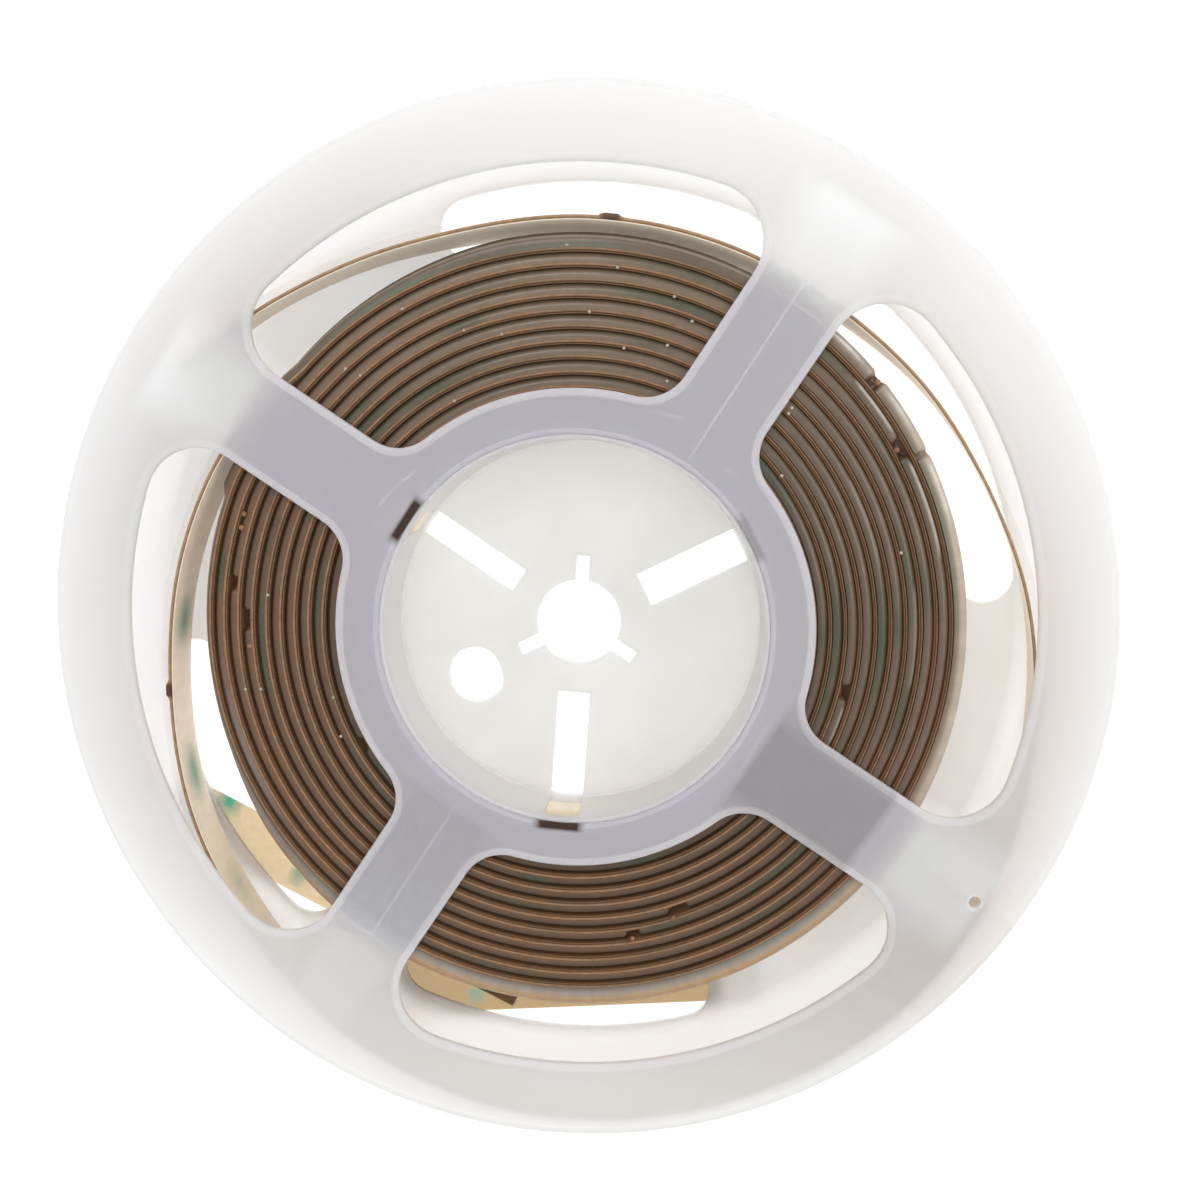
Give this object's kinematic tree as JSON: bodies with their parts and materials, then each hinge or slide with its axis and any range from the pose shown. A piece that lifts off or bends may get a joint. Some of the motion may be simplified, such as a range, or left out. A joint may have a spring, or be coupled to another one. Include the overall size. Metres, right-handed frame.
{
  "type": "led strip light reel",
  "caption": "Translucent plastic reel holding a wound flexible LED strip with tan release liner; its outermost turn has sprung loose between the flanges.",
  "frame": {"origin": "centre of the base, on the reel's axis, at the underside of the base ring", "axes": "+Z along the reel's axis, from the rear flange to the front flange; +Y is up in the picture and +X is right"},
  "size_m": [0.154, 0.154, 0.0138],
  "materials": {
    "milky_plastic": "translucent milky white",
    "coated_strip": "clear coating over a brown tape",
    "liner_paper": "waxed tan liner with green print"
  },
  "bodies": {
    "root": {"front_flange": "milky_plastic", "rear_flange": "milky_plastic", "led_strip": "coated_strip", "release_liner": "liner_paper", "liner_tail": "liner_paper"}
  },
  "joints": []
}
